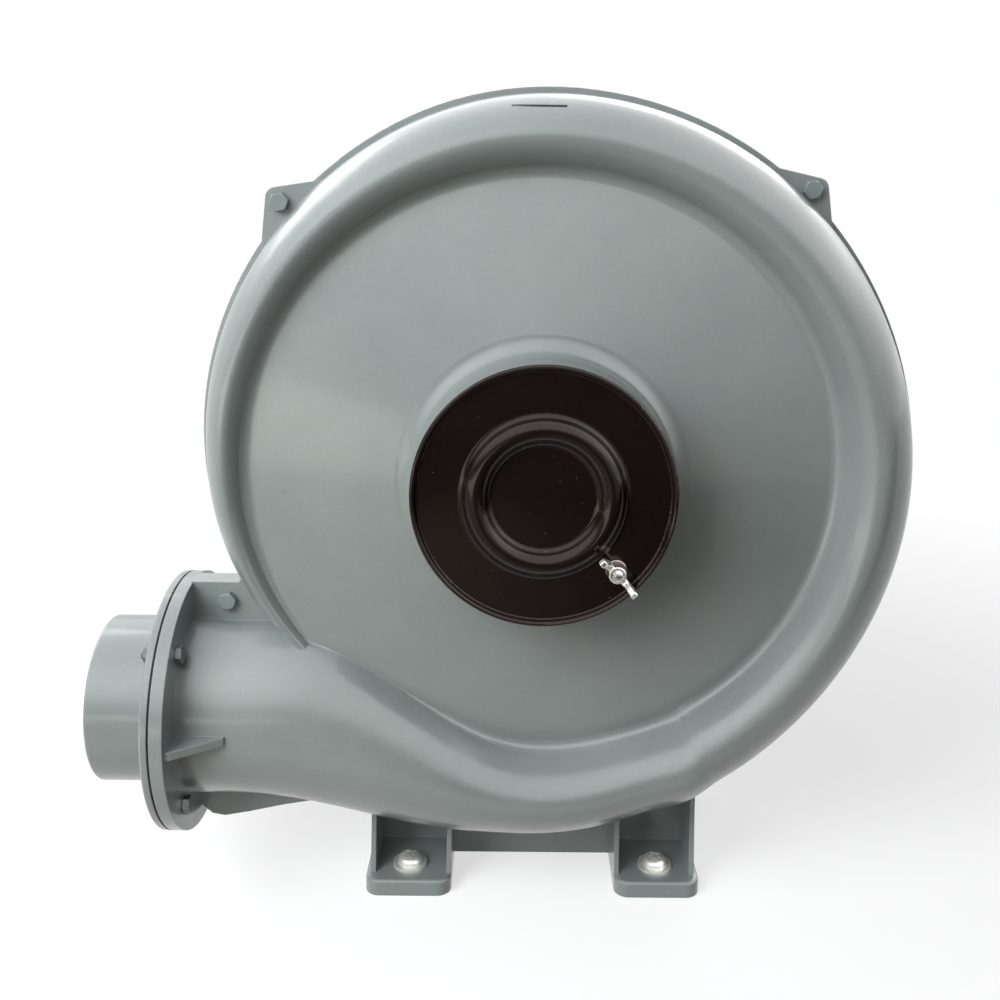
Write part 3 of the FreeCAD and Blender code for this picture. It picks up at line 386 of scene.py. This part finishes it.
def cove():
    """Casting fillet in the crease between the conical face and the bead round it."""
    cover = nodes["front_cover"].data
    tree = BVHTree.FromPolygons([v.co for v in cover.vertices],
                                [tuple(p.vertices) for p in cover.polygons])

    def at(angle, radius, y):
        return (radius * math.cos(angle), y, SHAFT_Z + radius * math.sin(angle))

    def front(angle, radius):
        """The cover's foremost y at that place of the face."""
        place = tree.ray_cast(Vector(at(angle, radius, -0.30)), Vector((0.0, 1.0, 0.0)))[0]
        return place.y if place else 0.0

    def arc(angle, size):
        """One cross-section of the fillet, from the face to the flank of the bead."""
        low, high = front(angle, FACE_INNER), front(angle, FACE_OUTER)
        slope = (high - low) / (FACE_OUTER - FACE_INNER)
        radius = FACE_OUTER
        while (radius < CREASE_LIMIT and
               front(angle, radius) > high + slope * (radius - FACE_OUTER) - 0.5 * MM):
            radius += STRIDE
        crease = radius - 0.4 * MM
        floor_y = high + slope * (crease - FACE_OUTER)
        while (front(angle, radius) > floor_y - COVE_RISE * size and
               front(angle, radius + 2 * STRIDE) < front(angle, radius)):
            radius += STRIDE
        reach = COVE_INWARD * size
        first = (crease - reach, floor_y - slope * reach)
        last = (radius, front(angle, radius))
        for k in range(COVE_SEGMENTS + 1):
            t = k / COVE_SEGMENTS
            weights = ((1 - t) ** 2, 2 * t * (1 - t), t * t)
            r, y = (sum(w * v for w, v in zip(weights, values))
                    for values in zip(first, (crease, floor_y), last))
            yield at(angle, r, y)

    verts = []
    for step in range(COVE_STEPS + 1):
        angle = math.radians(COVE_START + (COVE_END - COVE_START) * step / COVE_STEPS)
        verts += arc(angle, min(1.0, 0.1 + 0.9 * min(step, COVE_STEPS - step) / COVE_TAPER))
    width = COVE_SEGMENTS + 1
    corners = [row * width + k for row in range(COVE_STEPS) for k in range(COVE_SEGMENTS)]
    mesh = bpy.data.meshes.new("face_cove")
    mesh.from_pydata(verts, [], [(a, a + 1, a + width + 1, a + width) for a in corners])
    obj = smooth_object(mesh, paint)
    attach(obj, "casing")


forged_wing_nut()
threaded_stud()
cove()


# Floor, backdrop, lights and camera

FLOOR_HALF = 8.0
FLOOR_DROP = 0.4 * MM
FLOOR_LIFT = 0.62  # glow that brings the lit floor up to white for what sees it directly
FLOOR_PALE = ((0.42, 0.42, 0.42), (0.46, 0.46, 0.46))
FLOOR_BOUNCE = (0.30, 0.27, 0.235)  # colour of the light that it throws back on the object
FLOOR_MIRRORED = (1.0, 0.95, 0.88, 1.0)

# What glossy surfaces see in front of the object, as start, end, low and high along an axis
NEAR_FLOOR = (-0.20, 0.20, 0.60, 0.03)
FAR_LEFT = (-0.64, -0.38, 2.9, 0.10)
FAR_RIGHT = (0.30, 0.70, 0.0, 0.6)
ABOVE = (0.10, 0.42, 0.30, 2.3)
RIGHT_SIDE = (0.20, 0.90, 0.0, 1.6)
STUDIO = 0.16  # level of the room for everything else


def floor():
    """Pale floor that keeps the shadow near the object and runs out into the white backdrop."""
    mesh = bpy.data.meshes.new("floor")
    corners = [(-1, -1), (1, -1), (1, 1), (-1, 1)]
    mesh.from_pydata([(FLOOR_HALF * x, FLOOR_HALF * y, 0) for x, y in corners], [], [(0, 1, 2, 3)])
    plane = bpy.data.objects.new("floor", mesh)
    plane.location.z = -FLOOR_DROP
    bpy.context.scene.collection.objects.link(plane)

    f = Finish("floor_white", specular=0.0)
    ray = f.add("ShaderNodeLightPath").outputs
    pale = f.mix(f.noise(0.5), *FLOOR_PALE)
    f.finish(f.mix(ray["Is Diffuse Ray"], pale, FLOOR_BOUNCE),
             f.ramp(f.noise(0.3), (0.3, 0.85), (0.7, 0.95)))
    shown = f.math("MAXIMUM", ray["Is Camera Ray"], ray["Is Glossy Ray"])
    shown = f.math("MAXIMUM", shown, ray["Is Transmission Ray"])

    def glow(strength=1.0):
        node = f.add("ShaderNodeEmission")
        f.put(strength, node.inputs["Strength"])
        return node

    def blend(amount, first, second):
        node = f.add("ShaderNodeMixShader")
        for value, socket in zip((amount, first.outputs[0], second.outputs[0]), node.inputs):
            f.put(value, socket)
        return node

    near = f.add("ShaderNodeAddShader")
    f.put(f.shader.outputs[0], near.inputs[0])
    f.put(glow(f.math("MULTIPLY", shown, FLOOR_LIFT)).outputs[0], near.inputs[1])
    reach = f.add("ShaderNodeVectorMath", operation="LENGTH")
    f.put(f.place, reach.inputs[0])
    distance = f.math("MULTIPLY", reach.outputs["Value"], 0.5)
    fade = f.math("MULTIPLY", f.ramp(distance, (0.22, 0.0), (0.50, 1.0)), shown)
    white = blend(fade, near, glow())

    x, y, _ = f.split(f.place)
    near_level = f.step(x, *NEAR_FLOOR)
    far_level = f.math("ADD", f.step(x, *FAR_LEFT), f.step(x, *FAR_RIGHT))
    mirrored = glow(f.step(y, -1.20, -1.00, far_level, near_level))
    mirrored.inputs["Color"].default_value = FLOOR_MIRRORED
    in_front = f.math("MULTIPLY", f.step(y, -0.45, -0.25, 1.0, 0.0), ray["Is Glossy Ray"])
    out = blend(in_front, white, mirrored)
    f.put(out.outputs[0], f.tree.nodes["Material Output"].inputs["Surface"])
    mesh.materials.append(f.material)


def backdrop():
    """White behind the object for what the camera and clear things see, a grey studio before it."""
    world = bpy.data.worlds.new("studio")
    bpy.context.scene.world = world
    world.use_nodes = True
    sky = Nodes(world.node_tree)
    shade = sky.tree.nodes["Background"]
    ray = sky.add("ShaderNodeLightPath").outputs
    x, y, z = sky.split(sky.add("ShaderNodeTexCoord").outputs["Generated"])
    glossy = ray["Is Glossy Ray"]
    behind = sky.math("GREATER_THAN", y, -0.05)
    white = sky.math("MAXIMUM", ray["Is Camera Ray"], ray["Is Transmission Ray"])
    white = sky.math("MAXIMUM", white, sky.math("MULTIPLY", glossy, behind))
    mirrored = sky.math("ADD", sky.step(z, *ABOVE), sky.step(x, *RIGHT_SIDE))
    diffuse = sky.math("MULTIPLY", sky.math("SUBTRACT", 1.0, glossy), STUDIO)
    room = sky.math("ADD", sky.math("MULTIPLY", glossy, mirrored), diffuse)
    sky.put(sky.math("MAXIMUM", white, room), shade.inputs["Strength"])
    shade.inputs["Color"].default_value = (1.0, 1.0, 1.0, 1.0)


AIM = Vector((0.0, -0.1, 0.28))
WHITE = (1.0, 1.0, 1.0)

# Name, power in watts, width and height, place, colour, and whether glossy surfaces mirror it
LAMPS = [
    ("key", 23.0, (0.9, 0.9), (-0.95, -1.00, 1.00), (0.98, 1.0, 1.0), False),
    ("front", 7.0, (0.9, 0.9), (-0.50, -1.50, 1.50), WHITE, False),
    ("low", 4.0, (0.8, 0.8), (-1.10, -1.20, 0.30), WHITE, False),
    ("fill", 1.0, (0.9, 0.9), (0.10, -1.90, 0.90), (1.0, 0.95, 0.90), False),
    ("top", 5.5, (0.8, 0.6), (-1.00, 0.50, 1.15), WHITE, True),
    ("rear", 10.0, (1.4, 1.0), (0.8, 1.7, 1.5), WHITE, True),
]


def lamp(name, power, size, place, colour, mirrored):
    data = bpy.data.lights.new(name, "AREA")
    data.shape = "RECTANGLE"
    data.size, data.size_y = size
    data.energy = power
    data.color = colour
    light = bpy.data.objects.new(name, data)
    light.location = place
    light.rotation_mode = "QUATERNION"
    light.rotation_quaternion = (AIM - Vector(place)).to_track_quat("-Z", "Y")
    light.visible_glossy = mirrored
    bpy.context.scene.collection.objects.link(light)


CAMERA_PLACE = (-0.018909, -0.746173, 0.438554)
YAW, PITCH_DOWN, ROLL = 0.0163, 0.198, 0.0184
SENSOR = 36.0
FOCAL = 1.08828  # in widths of the picture
SHIFT = (-0.02771, -0.08308)


def camera():
    """Camera of the photograph: in front of the inlet, a little above it and looking down at it."""
    ahead = Vector((math.sin(YAW) * math.cos(PITCH_DOWN), math.cos(YAW) * math.cos(PITCH_DOWN),
                    -math.sin(PITCH_DOWN)))
    level = Vector((math.cos(YAW), -math.sin(YAW), 0.0))
    plumb = level.cross(ahead)
    right = level * math.cos(ROLL) + plumb * math.sin(ROLL)
    up = plumb * math.cos(ROLL) - level * math.sin(ROLL)
    data = bpy.data.cameras.new("camera")
    data.sensor_width = SENSOR
    data.lens = SENSOR * FOCAL
    data.shift_x, data.shift_y = SHIFT
    data.clip_start, data.clip_end = 0.02, 40.0
    cam = bpy.data.objects.new("camera", data)
    bpy.context.scene.collection.objects.link(cam)
    turn = Matrix((right, up, -ahead)).transposed().to_4x4()
    cam.matrix_world = Matrix.Translation(CAMERA_PLACE) @ turn
    bpy.context.scene.camera = cam


floor()
backdrop()
for row in LAMPS:
    lamp(*row)
camera()
bpy.context.scene.view_settings.view_transform = "Standard"
